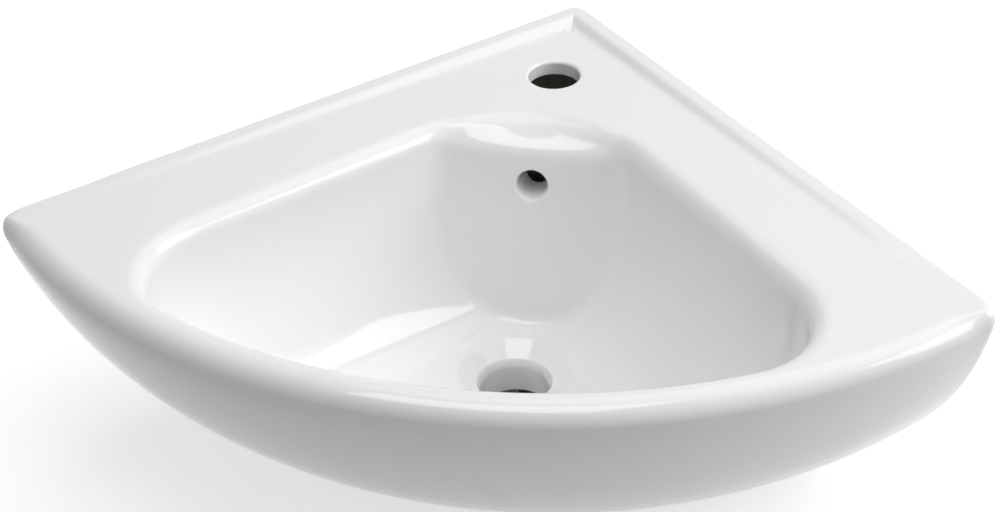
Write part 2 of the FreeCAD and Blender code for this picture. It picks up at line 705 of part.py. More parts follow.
def addNut(side, name):
    """A hexagon nut with bevelled corners on both faces."""
    label = "nut_" + name
    body = addBody(label, wallFrame(side))
    plan = addSketch(body, label + "Plan", "XY_Plane", nutFoot)
    reach = f"({of('nutWidth')} / sqrt(3))"
    turns = [60 * k for k in range(6)]
    addPolygon(plan, [(f"{reach} * cos({turn} deg)", f"{reach} * sin({turn} deg)") for turn in turns])
    pad(body, plan, label + "Block", of("nutHeight"))
    bore = addSketch(body, label + "Bore", "XY_Plane", nutFoot)
    addCircle(bore, "0", "0", f"({of('boltDiameter')} + {of('threadFit')})")
    pocket(body, bore, label + "Bored", of("nutHeight"), reverse=True)
    flat = f"({of('nutWidth')} / 2)"
    for end, face, inward in (("Near", nutFoot, f"{of('nutBevel')}"), ("Far", nutTop, f"(-{of('nutBevel')})")):
        bevel = addSketch(body, label + end, "XZ_Plane")
        outer = f"({flat} + 2 * {of('nutBevel')})"
        addPolygon(bevel, [(flat, face), (outer, face), (outer, f"{face} + {inward}")])
        groove = body.newObject("PartDesign::Groove", label + end + "Bevel")
        groove.Profile = bevel
        groove.ReferenceAxis = (bevel, ["V_Axis"])
        groove.Angle = 360
    return placeOnWall(body, side)


def threadCorners(top, pitch, depth, count):
    """The zigzag of a thread, downward from its top."""
    corners = []
    for k in range(count):
        crest = f"({top} - {k} * {pitch})"
        corners.append((f"({boltRadius} - {depth})", f"({crest} - {pitch} / 2)"))
        corners.append((boltRadius, f"({crest} - {pitch})"))
    return corners


def addHangerBolt(side, name):
    """A bolt with a machine thread in the room and a wood thread in the wall."""
    machineTop = f"({boltTop} - {of('threadPitch')})"
    machineTurns = int(size(f"({machineTop} - {of('threadFoot')}) / {of('threadPitch')}"))
    pointTop = f"({of('pointLength')} - {of('boltInWall')})"
    woodTop = f"(-{of('threadFoot')} / 2)"
    woodTurns = int(size(f"({woodTop} - {pointTop}) / {of('woodPitch')}"))
    corners = [
        ("0", boltTop),
        (f"({boltRadius} - {of('threadDepth')})", boltTop),
        (boltRadius, machineTop),
        *threadCorners(machineTop, of("threadPitch"), of("threadDepth"), machineTurns),
        (boltRadius, woodTop),
        *threadCorners(woodTop, of("woodPitch"), of("woodDepth"), woodTurns),
        (f"({boltRadius} - {of('woodDepth')})", pointTop),
        ("0", f"-{of('boltInWall')}"),
    ]
    corners.reverse()
    return placeOnWall(addRevolved("hanger_bolt_" + name, corners, wallFrame(side)), side)


def addWallPlug(side, name):
    """A plastic plug: collar flush with the wall, bore for the bolt, and a slit that lets it spread."""
    label = "wall_plug_" + name
    body = f"({of('plugDiameter')} / 2)"
    bore = f"({boltRadius} + {of('threadFit')} / 2)"
    boreEnd = f"({of('boltInWall')} + {of('plugBoreSpare')})"
    top, collarFoot = f"(-{of('contactGap')})", f"(-{of('plugRimHeight')})"
    corners = [
        (bore, top),
        (f"{of('plugRim')} / 2", top),
        (f"{of('plugRim')} / 2", collarFoot),
        (body, collarFoot),
        (body, f"-({of('plugLength')} - {of('plugTaper')})"),
        (f"({body} - {of('plugTaper')} / 2)", f"-{of('plugLength')}"),
        ("0", f"-{of('plugLength')}"),
        ("0", f"-{boreEnd}"),
        (bore, f"-{boreEnd}"),
    ]
    plug = addRevolved(label, corners, wallFrame(side))
    slit = addSketch(plug, label + "Slit", "XZ_Plane")
    half, depth = f"({of('plugSlit')} / 2)", f"({of('plugSlitTop')} + {of('plugSlitLength')})"
    addPolygon(
        slit,
        [
            (f"-{half}", f"-{depth}"),
            (half, f"-{depth}"),
            (half, f"-{of('plugSlitTop')}"),
            (f"-{half}", f"-{of('plugSlitTop')}"),
        ],
    )
    pocket(plug, slit, label + "Slotted", f"{of('plugRim')}", bothWays=True)
    return placeOnWall(plug, side)


fixings = []
for name, side in sides.items():
    fixings += [
        addBush(side, name),
        addWasher(side, name),
        addNut(side, name),
        addHangerBolt(side, name),
        addWallPlug(side, name),
    ]
doc.recompute()

for item in doc.Objects:
    if "Invalid" in item.State or "Error" in item.State:
        raise ValueError(f"{item.Label} did not build")

os.makedirs("parts", exist_ok=True)
for piece in [basin, *fixings]:
    shape = piece.Shape
    if shape.isNull() or not shape.isValid() or len(shape.Solids) != 1:
        raise ValueError(f"{piece.Label} is not one sound solid")
    shape.exportStep(f"parts/{piece.Label}.step")
    print(piece.Label, round(shape.Volume))
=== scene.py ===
import math

import bmesh
import bpy
import numpy as np
from mathutils import Euler, Matrix, Vector


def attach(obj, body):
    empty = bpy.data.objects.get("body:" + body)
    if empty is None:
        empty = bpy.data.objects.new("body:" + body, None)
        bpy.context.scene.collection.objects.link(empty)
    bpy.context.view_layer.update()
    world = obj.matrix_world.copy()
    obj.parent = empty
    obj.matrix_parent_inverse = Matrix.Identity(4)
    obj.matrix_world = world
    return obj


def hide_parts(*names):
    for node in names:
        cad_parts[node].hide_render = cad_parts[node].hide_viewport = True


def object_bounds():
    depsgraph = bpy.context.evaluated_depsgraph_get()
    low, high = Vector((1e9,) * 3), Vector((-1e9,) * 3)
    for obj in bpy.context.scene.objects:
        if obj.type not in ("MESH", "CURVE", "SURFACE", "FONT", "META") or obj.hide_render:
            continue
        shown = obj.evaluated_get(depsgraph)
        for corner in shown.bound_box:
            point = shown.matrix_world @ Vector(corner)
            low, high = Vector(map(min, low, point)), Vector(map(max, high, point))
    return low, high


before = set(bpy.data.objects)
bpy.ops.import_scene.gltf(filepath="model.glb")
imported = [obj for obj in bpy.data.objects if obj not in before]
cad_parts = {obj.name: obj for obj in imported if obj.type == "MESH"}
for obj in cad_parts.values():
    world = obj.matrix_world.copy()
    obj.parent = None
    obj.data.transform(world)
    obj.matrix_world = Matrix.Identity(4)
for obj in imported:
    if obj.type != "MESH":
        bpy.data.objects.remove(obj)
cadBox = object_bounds()
scene = bpy.context.scene
mm = 0.001

# The camera stands where the basin's edges fall on those of the photograph.
cameraSettings = {
    "place": (346.108, -1815.546, 1045.634),  # mm
    "turn": (55.74276, 1.00576, 10.93305),  # degrees about X, Y and Z
    "focalShare": 3.00015,  # focal length over picture width
    "sensorWidth": 36,  # mm
    "shift": (-0.045413, -0.001947),
    "farthest": 50,  # m
}


def addCamera(settings):
    data = bpy.data.cameras.new("camera")
    data.sensor_width = settings["sensorWidth"]
    data.lens = settings["focalShare"] * data.sensor_width
    data.shift_x, data.shift_y = settings["shift"]
    data.clip_end = settings["farthest"]
    camera = bpy.data.objects.new("camera", data)
    turn = Euler([math.radians(angle) for angle in settings["turn"]])
    camera.matrix_world = Matrix.Translation(Vector(settings["place"]) * mm) @ turn.to_matrix().to_4x4()
    scene.collection.objects.link(camera)
    scene.camera = camera


# Studio: a floor that is white to the camera, a large lamp on the right, a key above and behind, and
# a soft one above the front. Lengths are metres, power is watts.
studioSettings = {
    "aim": (0.0, -0.25, -0.05),
    "lamps": {
        "key": {"place": (0.4, 0.25, 1.5), "size": (1.9, 1.1), "power": 6.3},
        "right": {"place": (2.3, 0.1, 1.25), "size": (2.2, 1.5), "power": 38},
        "top": {"place": (-0.1, -0.7, 1.7), "size": (1.1, 0.95), "power": 11.5},
    },
    "worldShade": 0.86,
    "worldStrength": 0.21,
    "floorDrop": 0.004,
    "floorSize": 6.0,
    "floorShade": 0.6,
    "floorRoughness": 0.9,
    "floorGlow": 0.65,
    "shadowReach": (0.5, 1.1),  # from where to where the floor fades to plain white
}


# Shows one shader to the camera, to mirrors and through glass, and another to the light on the part.
def showWhite(tree, plain, white, output):
    path = tree.nodes.new("ShaderNodeLightPath")
    seen = path.outputs["Is Camera Ray"]
    for ray in ("Is Glossy Ray", "Is Transmission Ray"):
        either = tree.nodes.new("ShaderNodeMath")
        either.operation = "MAXIMUM"
        tree.links.new(seen, either.inputs[0])
        tree.links.new(path.outputs[ray], either.inputs[1])
        seen = either.outputs[0]
    mix = mixShaders(tree, seen, plain, white)
    tree.links.new(mix.outputs[0], output.inputs["Surface"])


def mixShaders(tree, share, first, second):
    mix = tree.nodes.new("ShaderNodeMixShader")
    tree.links.new(share, mix.inputs["Fac"])
    tree.links.new(first.outputs[0], mix.inputs[1])
    tree.links.new(second.outputs[0], mix.inputs[2])
    return mix


def addWorld(settings):
    world = bpy.data.worlds.new("studio")
    world.use_nodes = True
    scene.world = world
    tree = world.node_tree
    plain = tree.nodes["Background"]
    shade = settings["worldShade"]
    plain.inputs["Color"].default_value = (shade, shade, shade, 1)
    plain.inputs["Strength"].default_value = settings["worldStrength"]
    white = tree.nodes.new("ShaderNodeBackground")
    white.inputs["Color"].default_value = (1, 1, 1, 1)
    showWhite(tree, plain, white, tree.nodes["World Output"])


def addLamp(name, lamp, aim):
    data = bpy.data.lights.new(name, "AREA")
    data.shape = "RECTANGLE"
    data.size, data.size_y = lamp["size"]
    data.energy = lamp["power"]
    light = bpy.data.objects.new(name, data)
    place = Vector(lamp["place"])
    turn = (Vector(aim) - place).to_track_quat("-Z", "Y")
    light.matrix_world = Matrix.Translation(place) @ turn.to_matrix().to_4x4()
    scene.collection.objects.link(light)


# The floor as it is lit, with a glow added for the eye alone, so that it is white and keeps its shadow.
def addFloor(settings):
    half = settings["floorSize"] / 2
    low = cadBox[0][2] - settings["floorDrop"]
    corners = [(-half, -half, low), (half, -half, low), (half, half, low), (-half, half, low)]
    mesh = bpy.data.meshes.new("floor")
    mesh.from_pydata(corners, [], [(0, 1, 2, 3)])
    floor = bpy.data.objects.new("floor", mesh)
    scene.collection.objects.link(floor)

    material = bpy.data.materials.new("paleFloor")
    material.use_nodes = True
    tree = material.node_tree
    plain = tree.nodes["Principled BSDF"]
    tone = settings["floorShade"]
    plain.inputs["Base Color"].default_value = (tone, tone, tone, 1)
    plain.inputs["Roughness"].default_value = settings["floorRoughness"]
    glow = tree.nodes.new("ShaderNodeEmission")
    glow.inputs["Strength"].default_value = settings["floorGlow"]
    lit = tree.nodes.new("ShaderNodeAddShader")
    tree.links.new(plain.outputs[0], lit.inputs[0])
    tree.links.new(glow.outputs[0], lit.inputs[1])

    place = tree.nodes.new("ShaderNodeTexCoord")
    away = tree.nodes.new("ShaderNodeVectorMath")
    away.operation = "LENGTH"
    tree.links.new(place.outputs["Object"], away.inputs[0])
    fade = tree.nodes.new("ShaderNodeMapRange")
    fade.interpolation_type = "SMOOTHSTEP"
    fade.inputs["From Min"].default_value, fade.inputs["From Max"].default_value = settings["shadowReach"]
    tree.links.new(away.outputs["Value"], fade.inputs["Value"])
    bright = tree.nodes.new("ShaderNodeEmission")
    white = mixShaders(tree, fade.outputs["Result"], lit, bright)
    showWhite(tree, plain, white, tree.nodes["Material Output"])
    mesh.materials.append(material)


addCamera(cameraSettings)
scene.view_settings.view_transform = "Standard"
addWorld(studioSettings)
for name, lamp in studioSettings["lamps"].items():
    addLamp(name, lamp, studioSettings["aim"])
addFloor(studioSettings)
print("studio is set")


# Basin, in mm and degrees, in the frame of the CAD part. The outside is the space between two walls,
# cut by an apron that is turned about an upright axis. The bowl is a rounded triangle that shrinks
# with depth. In the functions below, b is this dictionary.
basin = {
    # outside
    "wallSide": 450, "frontReach": 472, "height": 195, "deckDepth": 4.8, "deckThickness": 10,
    "rimRound": 8, "cornerRound": 9, "apronLean": 15, "footInset": 171, "footWidth": 26, "footStep": 5,
    "apronWall": 11, "flangeWall": 12, "flangeDepth": 125, "belowFlange": 20,
    "ledgeWidth": 9, "ledgeRun": 9, "ledgeLength": 400, "ledgeFade": 0.6, "ledgeEnd": 40,
    # bowl
    "bowlDepth": 140, "fullness": 2.25, "bowlWall": 10, "rimWidth": 29,
    "sideAngle": 42.34, "sideGap": 68.3, "sideShrink": 66.0, "frontShrink": 161,
    "backRound": 60, "frontRound": 70, "floorRound": 28,
    # overflow panel and the facets above it
    "panelReach": 170, "panelTop": 22.6, "panelLean": 0.16, "panelHalfWidth": 62.5, "panelPeak": 26,
    "facetFoot": 17, "facetFade": 0.15, "facetCurve": 1.4,
    # holes; tapHole, overflowHole, fixingHole, ductOutlet, bores, recess, chamber and boss are radii
    "wasteReach": 243, "recess": 38, "seatDrop": 8, "bore": 23, "boreEase": 2.4, "lip": 24,
    "chamber": 32, "boss": 55, "tapReach": 90, "tapHole": 17.5,
    "overflowDepth": 42, "overflowHole": 10.5, "ductReach": 141, "ductBore": 11, "ductWall": 8,
    "ductOutlet": 5, "ductRise": 11, "ductSump": 1.5,
    "fixingReach": 200, "fixingDepth": 90, "fixingHole": 9,
    # soft edges that the glaze leaves
    "rimSoft": 18, "tipRound": 8, "tipBlend": 40, "wallEdgeRound": 2,
    "edgeRound": 12, "backEdgeRound": 4, "backEdgeRun": 20, "backEdgeStart": 15, "backEdgeFade": 25,
    "panelSoft": 4, "valleySoft": 5, "creaseRound": 6, "underRound": 6,
    "recessRound": 3, "boreRound": 1.2, "tapLip": 2.0, "overflowLip": 2.5,
    "sharpAngle": 35,
}


# Adds the values that follow from those above.
def addDerived(b):
    span = b["wallSide"] / math.sqrt(2)
    slant = math.radians(b["sideAngle"])
    b["centre"] = (b["wallSide"] ** 2 - b["frontReach"] ** 2) / (2 * (span - b["frontReach"]))
    b["radius"] = b["frontReach"] - b["centre"]
    b["sideX"], b["sideY"] = math.cos(slant), math.sin(slant)
    b["floor"] = -b["deckDepth"] - b["bowlDepth"]
    b["seat"] = b["floor"] - b["seatDrop"]
    b["deckUnder"] = -b["deckDepth"] - b["deckThickness"]
    b["apron"] = apronArc(b, b["radius"], b["deckDepth"], b["footInset"], b["height"])
    inner = b["radius"] - b["apronWall"]
    inset, bottom = b["footInset"] + b["footWidth"], b["height"] - b["footStep"]
    b["innerApron"] = apronArc(b, inner, -b["deckUnder"], inset, bottom)


# Centre and radius, in the plane of a section, of the arc from the rim's rounding to the foot.
def apronArc(b, radius, top, inset, bottom):
    lean = math.radians(b["apronLean"])
    out = np.array([math.cos(lean), -math.sin(lean)])
    joint = np.array([radius - b["rimRound"], -top - b["rimRound"]]) + out * b["rimRound"]
    chord = np.array([b["radius"] - inset, -bottom]) - joint
    reach = -(chord @ chord) / (2 * (chord @ out))
    return joint - out * reach, reach


addDerived(basin)


# The common space of two shapes given by signed distances, with a rounded edge.
def roundMax(first, second, radius):
    u, v = np.maximum(first + radius, 0), np.maximum(second + radius, 0)
    return np.minimum(np.maximum(first, second), -radius) + np.hypot(u, v)


# Nought below zero and the value itself above, with a soft bend between.
def ramp(value, soft):
    return (value + np.sqrt(value * value + soft * soft)) / 2


def smoothStep(share):
    share = np.clip(share, 0, 1)
    return share * share * (3 - 2 * share)


# How far in a wall of the bowl has come at a height, from 0 at the deck to 1 at the floor.
def shrinkAt(b, z, depth):
    down = np.clip((-b["deckDepth"] - z) / depth, 0, 1)
    power = b["fullness"]
    return 1 - (1 - down**power) ** (1 / power)


# The rounded triangle of the bowl, grown outward all round.
def outlineField(b, x, y, shrink, grow=0):
    gap = b["sideGap"] + b["sideShrink"] * shrink - grow
    right = b["sideX"] * x + b["sideY"] * y + gap
    left = -b["sideX"] * x + b["sideY"] * y + gap
    back = b["backRound"] + (b["floorRound"] - b["backRound"]) * shrink + grow
    corner = b["frontRound"] + (b["floorRound"] - b["frontRound"]) * shrink + grow
    front = b["radius"] - b["rimWidth"] - b["frontShrink"] * shrink + grow
    arc = np.hypot(x, y + b["centre"]) - front
    return roundMax(roundMax(right, left, back), arc, corner)


# Distance behind the overflow panel and the two facets that rise from its rolled top to the deck.
def panelField(b, x, y, z):
    above = ramp(z + b["facetFoot"], b["panelSoft"])
    soft = b["valleySoft"]
    across = 1 - (np.sqrt(x * x + soft * soft) - soft) / b["panelHalfWidth"]
    share = np.clip(ramp(across, b["facetFade"]), 0, 1)
    share = 1 - (1 - share) ** b["facetCurve"]
    slope = (b["panelPeak"] / (b["facetFoot"] - b["deckDepth"]) - b["panelLean"]) * share
    surface = -b["panelReach"] + b["panelLean"] * (z + b["panelTop"]) + slope * above
    steep = np.where(z > -b["facetFoot"], slope, 0) + b["panelLean"]
    return (y - surface) / np.sqrt(1 + steep * steep)


def cavityField(b, x, y, z):
    inside = outlineField(b, x, y, shrinkAt(b, z, b["bowlDepth"]))
    return roundMax(inside, panelField(b, x, y, z), b["creaseRound"])


# Height of the deck with the two ledges, which fade towards the tips.
def deckHeight(b, x, y):
    rise = np.zeros(np.shape(x))
    for side in (1, -1):
        away = (-side * x - y) / math.sqrt(2)
        along = (side * x - y) / math.sqrt(2)
        share = np.clip(along / b["ledgeLength"], 0, 1)
        top = b["deckDepth"] + (b["ledgeFade"] - b["deckDepth"]) * share
        top = top * smoothStep((b["ledgeLength"] - along) / b["ledgeEnd"])
        step = smoothStep((b["ledgeWidth"] + b["ledgeRun"] - away) / b["ledgeRun"])
        rise = np.maximum(rise, top * step)
    return rise - b["deckDepth"]


# The two wall planes and the apron, without top and bottom, and by how much the apron is nearer.
def sideField(b, x, y, z):
    right, left = (x + y) / math.sqrt(2), (y - x) / math.sqrt(2)
    walls = roundMax(right, left, b["cornerRound"])
    centre, reach = b["apron"]
    across = np.hypot(x, y + b["centre"])
    apron = np.hypot(np.maximum(across - centre[0], 0), np.minimum(z, 0) - centre[1]) - reach
    return roundMax(walls, apron, b["tipRound"]), apron - walls


# Signed distance to the china above the foot; its edges are rounder at the apron than at the walls.
def chinaField(b, x, y, z):
    side, lead = sideField(b, x, y, z)
    top = z - deckHeight(b, x, y)
    nearApron = smoothStep(lead / b["tipBlend"] + 0.5)
    edge = b["wallEdgeRound"] + (b["rimSoft"] - b["wallEdgeRound"]) * nearApron
    outside = roundMax(side, top, edge)
    atBack = smoothStep((y + b["panelReach"] + b["backEdgeStart"]) / b["backEdgeFade"])
    atBack = atBack * smoothStep((b["panelHalfWidth"] - np.abs(x)) / b["backEdgeRun"])
    lip = b["edgeRound"] + (b["backEdgeRound"] - b["edgeRound"]) * atBack
    inside = roundMax(top, -cavityField(b, x, y, z), lip)
    return np.maximum(outside, inside)


# How the basin's mesh is divided, and how far searches and cutting tools reach. Lengths are mm.
basinGrid = {
    # directions round the waste axis, closer together near three marks
    "columns": 420, "directions": 20001, "markWeight": 9, "markWidth": 0.035,
    # waste
    "boreSteps": (20, 8, 2), "seatShares": (0.2, 0.4, 0.6, 0.78), "roundSteps": 7,
    "wasteGap": 0.2, "wallGap": 0.3,
    # bowl
    "wallRings": 84, "wallSamples": 360, "samplePower": 1.25, "wallPower": 1.35,
    # deck, with distances from the bowl's edge and from the outer edge
    "bowlEdgeSteps": (0.8, 1.7, 2.7, 3.8, 5.0, 6.4, 8.0, 10.0, 12.5), "bowlEdgeShare": 0.46,
    "rimSteps": (
        19, 16.5, 15.2, 14.2, 13.2, 12.2, 11.2, 10.2, 8.6, 7.2, 5.8, 4.6, 3.5, 2.6, 1.9, 1.3, 0.8, 0.4, 0,
    ),
    "rimShare": 0.5, "rimSlant": 2.2, "deckRings": 10, "edgeDepth": 0.5, "edgeStep": 0.5,
    # outside
    "dropSteps": (0.4, 0.9, 1.5, 2.2, 3.0, 4.0, 5.2, 6.6, 8.2, 10.0, 12.5),
    "outsideRings": 44, "outsidePower": 0.85,
    # moving points onto the rounded surface, down to settleDepth below the deck
    "settleRounds": 8, "settleStep": 0.01, "settleLeast": 0.2, "settleDepth": 30,
    # search for where a field turns positive
    "halvings": 44, "bowlSearch": 400, "outsideSearch": 600, "underSearch": 700,
    # underside
    "underColumns": 240, "roofSteps": (0, 2, 5), "roofRun": 10,
    "flangeLevels": 18, "footLevels": 14, "levelGap": 0.02, "shellLevels": 40, "shellTop": 10,
    # tools
    "turns": 96, "ductTurns": 48, "outletTurns": 32,
    "hollowPast": 15, "toolPast": 20, "tapTool": 40, "overflowTool": 15, "ductTop": 5,
}


# Moves points onto the rounded surface, along its slope.
def settle(b, grid, points):
    moved, step = points.copy(), grid["settleStep"]
    for _ in range(grid["settleRounds"]):
        here = chinaField(b, *np.moveaxis(moved, -1, 0))
        slope = np.empty_like(moved)
        for axis in range(3):
            beside = moved.copy()
            beside[..., axis] += step
            slope[..., axis] = (chinaField(b, *np.moveaxis(beside, -1, 0)) - here) / step
        steepness = np.maximum((slope**2).sum(-1), grid["settleLeast"])
        moved -= (here / steepness)[..., None] * slope
    return moved


# Directions round the waste axis, closer together at the tips and in the room corner.
def columnAngles(b, grid, count):
    span = b["wallSide"] / math.sqrt(2)
    tip = math.atan2(b["wasteReach"] - span, span)
    fine = np.linspace(-math.pi / 2, 1.5 * math.pi, grid["directions"])
    weight = np.ones_like(fine)
    for mark in (tip, math.pi / 2, math.pi - tip):
        weight += grid["markWeight"] * np.exp(-(((fine - mark) / grid["markWidth"]) ** 2))
    total = np.concatenate([[0], np.cumsum((weight[1:] + weight[:-1]) / 2)])
    return np.interp(np.arange(count) / count * total[-1], total, fine)


# Points at a distance from the waste axis and at a height, one for each direction.
def ringAt(b, angle, reach, z):
    reach, z = np.broadcast_to(reach, angle.shape), np.broadcast_to(z, angle.shape)
    return np.stack([reach * np.cos(angle), reach * np.sin(angle) - b["wasteReach"], z], -1)


# Level distance from the waste axis to where a field turns positive, for every direction.
def reachAlong(b, grid, field, angle, z, far):
    cosine, sine = np.cos(angle), np.sin(angle)
    low = np.zeros(np.broadcast(cosine, z).shape)
    high = np.full(low.shape, float(far))
    for _ in range(grid["halvings"]):
        middle = (low + high) / 2
        inside = field(middle * cosine, middle * sine - b["wasteReach"], z) < 0
        low, high = np.where(inside, middle, low), np.where(inside, high, middle)
    return (low + high) / 2


# Points of a rounding between two straight lines of a section.
def arcPoints(before, corner, after, radius, count):
    before, corner, after = (np.array(point, float) for point in (before, corner, after))
    u = (before - corner) / np.linalg.norm(before - corner)
    v = (after - corner) / np.linalg.norm(after - corner)
    half = math.acos(np.clip(u @ v, -1, 1)) / 2
    back = radius / math.tan(half)
    middle = (u + v) / np.linalg.norm(u + v)
    centre = corner + middle * radius / math.sin(half)
    first, last = corner + u * back - centre, corner + v * back - centre
    turn = math.atan2(first[0] * last[1] - first[1] * last[0], first @ last)
    points = []
    for k in range(count):
        cosine, sine = math.cos(turn * k / (count - 1)), math.sin(turn * k / (count - 1))
        across = centre[0] + first[0] * cosine - first[1] * sine
        points.append((across, centre[1] + first[0] * sine + first[1] * cosine))
    return points


# Wall of the bowl, from the waste recess up: found level by level, then spaced evenly along its slope.
def wallRings(b, grid, angle):
    turns = np.linspace(0, 1, grid["wallSamples"]) ** grid["samplePower"] * math.pi / 2
    levels = -b["deckDepth"] - b["bowlDepth"] * np.sin(turns) ** (2 / b["fullness"])
    levels[-1] = b["floor"]
    wall = reachAlong(
        b, grid, lambda x, y, z: cavityField(b, x, y, z), angle[None], levels[:, None], grid["bowlSearch"]
    )
    start = b["recess"] + b["recessRound"]
    spacing = 1 - (1 - np.linspace(0, 1, grid["wallRings"])) ** grid["wallPower"]
    reaches, heights = np.empty((2, grid["wallRings"], len(angle)))
    for k in range(len(angle)):
        reach, height = wall[::-1, k], levels[::-1]
        keep = reach > start + grid["wallGap"]
        first = np.interp(start, np.maximum.accumulate(reach), height)
        reach = np.concatenate([[start], reach[keep]])
        height = np.concatenate([[first], height[keep]])
        length = np.concatenate([[0], np.cumsum(np.hypot(np.diff(reach), np.diff(height)))])
        reaches[:, k] = np.interp(spacing * length[-1], length, reach)
        heights[:, k] = np.interp(spacing * length[-1], length, height)
    return reaches, heights


# Waste: bore, eased edge, conical seat and the soft edge of the recess, lifted to meet the floor.
def wasteRings(b, grid, angle, floorHeight):
    shoulder, rim = (b["bore"] + b["boreEase"], b["seat"]), (b["recess"], b["floor"])
    eased = (b["bore"], b["seat"] - 2 * b["boreEase"])
    profile = [(b["bore"], eased[1] - step) for step in grid["boreSteps"]] + [eased]
    profile += arcPoints(eased, shoulder, rim, b["boreRound"], grid["roundSteps"])
    for share in grid["seatShares"]:
        profile.append(tuple(low + (high - low) * share for low, high in zip(shoulder, rim)))
    level = (rim[0] + 1, rim[1])  # any point further out
    profile += arcPoints(shoulder, rim, level, b["recessRound"], grid["roundSteps"])
    start = b["recess"] + b["recessRound"]
    rings = []
    for reach, height in profile:
        if reach < start - grid["wasteGap"]:
            share = smoothStep((reach - b["bore"]) / (start - b["bore"]))
            rings.append(ringAt(b, angle, reach, height + (floorHeight - b["floor"]) * share))
    return rings


# Deck: from the bowl's edge to the outer edge, finer near both.
def deckRings(b, grid, angle, bowlEdge):
    flat = np.full(len(angle), -b["deckDepth"] - grid["edgeDepth"])
    step, far = grid["edgeStep"], grid["outsideSearch"]
    outer = reachAlong(b, grid, lambda x, y, z: sideField(b, x, y, z)[0], angle, flat, far)
    ahead = reachAlong(b, grid, lambda x, y, z: sideField(b, x, y, z)[0] + step, angle, flat, far)
    slantwise = np.clip((outer - ahead) / step, 1, grid["rimSlant"])  # along the ray per mm from the edge
    width = outer - bowlEdge
    bowlSteps, rimSteps = grid["bowlEdgeSteps"], grid["rimSteps"]
    bowlShare = np.minimum(1, grid["bowlEdgeShare"] * width / bowlSteps[-1])
    rimShare = np.minimum(slantwise, grid["rimShare"] * width / rimSteps[0])
    reaches = [bowlEdge + distance * bowlShare for distance in bowlSteps]
    last, first = reaches[-1], outer - rimSteps[0] * rimShare
    for k in range(1, grid["deckRings"] + 1):
        reaches.append(last + (first - last) * k / (grid["deckRings"] + 1))
    reaches += [outer - distance * rimShare for distance in rimSteps]
    rings = []
    for reach in reaches:
        points = ringAt(b, angle, reach, flat)
        points[:, 2] = deckHeight(b, points[:, 0], points[:, 1])
        rings.append(points)
    return rings


# Outside: down the walls and the apron to the foot.
def outsideRings(b, grid, angle, top):
    heights = [top - drop for drop in grid["dropSteps"]]
    begin = heights[-1]
    for share in np.linspace(0, 1, grid["outsideRings"])[1:] ** grid["outsidePower"]:
        heights.append(begin + (-b["height"] - begin) * np.sin(share * math.pi / 2))
    rings, far = [], grid["outsideSearch"]
    for height in heights:
        reach = reachAlong(b, grid, lambda x, y, z: sideField(b, x, y, z)[0], angle, height, far)
        rings.append(ringAt(b, angle, reach, height))
    return rings


# A tube of rings; when closed, its first ring joins its last, and otherwise both ends are capped.
def joinRings(name, rings, closed=True):
    count = len(rings[0])
    points = np.concatenate(rings) * mm
    faces = []
    for ring in range(len(rings) if closed else len(rings) - 1):
        low, high = ring * count, (ring + 1) % len(rings) * count
        for k in range(count):
            after = (k + 1) % count
            faces.append((low + k, low + after, high + after, high + k))
    if not closed:
        faces.append(tuple(range(count)))
        faces.append(tuple(range(len(points) - count, len(points))))
    mesh = bpy.data.meshes.new(name)
    mesh.from_pydata(points.tolist(), [], faces)
    mesh.update()
    piece = bpy.data.objects.new(name, mesh)
    scene.collection.objects.link(piece)
    faceOutward(mesh)
    return piece


def faceOutward(mesh):
    work = bmesh.new()
    work.from_mesh(mesh)
    bmesh.ops.recalc_face_normals(work, faces=work.faces)
    if work.calc_volume(signed=True) < 0:
        bmesh.ops.reverse_faces(work, faces=work.faces)
    work.to_mesh(mesh)
    work.free()


# Notes on every face whether it is glazed; a cut passes the note of its tool on to the faces it leaves.
# Faces noted as unglazed also get the dark colour of painted shade.
def markGlaze(piece, glazed):
    note = piece.data.attributes.new("glazed", "FLOAT", "FACE")
    note.data.foreach_set("value", [float(glazed)] * len(piece.data.polygons))
    return piece


# A solid whose level sections are the inside of a field, seen from the waste axis.
def stack(b, grid, name, field, levels):
    angle = columnAngles(b, grid, grid["underColumns"])
    rings = []
    for level in levels:
        z = np.full(len(angle), float(level))
        rings.append(ringAt(b, angle, reachAlong(b, grid, field, angle, z, grid["underSearch"]), z))
    return markGlaze(joinRings(name, rings, closed=False), glazed=0)


def pipe(radius, start, end):
    return [(radius, start), (radius, end)]


# A solid turned about an axis; the profile is pairs of radius and distance along it.
def lathe(name, profile, place, turns, axis=(0, 0, 1), glazed=0):
    turn = Vector(axis).to_track_quat("Z", "Y").to_matrix()
    rings = []
    for radius, along in profile:
        ring = []
        for k in range(turns):
            angle = 2 * math.pi * k / turns
            spoke = Vector((radius * math.cos(angle), radius * math.sin(angle), along))
            ring.append(Vector(place) + turn @ spoke)
        rings.append(np.array(ring))
    return markGlaze(joinRings(name, rings, closed=False), glazed)


def cut(target, tool):
    change = target.modifiers.new("cut", "BOOLEAN")
    change.operation = "DIFFERENCE"
    change.object = tool
    change.solver = "MANIFOLD"
    result = bpy.data.meshes.new_from_object(target.evaluated_get(bpy.context.evaluated_depsgraph_get()))
    target.modifiers.remove(change)
    old = target.data
    target.data = result
    bpy.data.meshes.remove(old)
    bpy.data.objects.remove(tool)


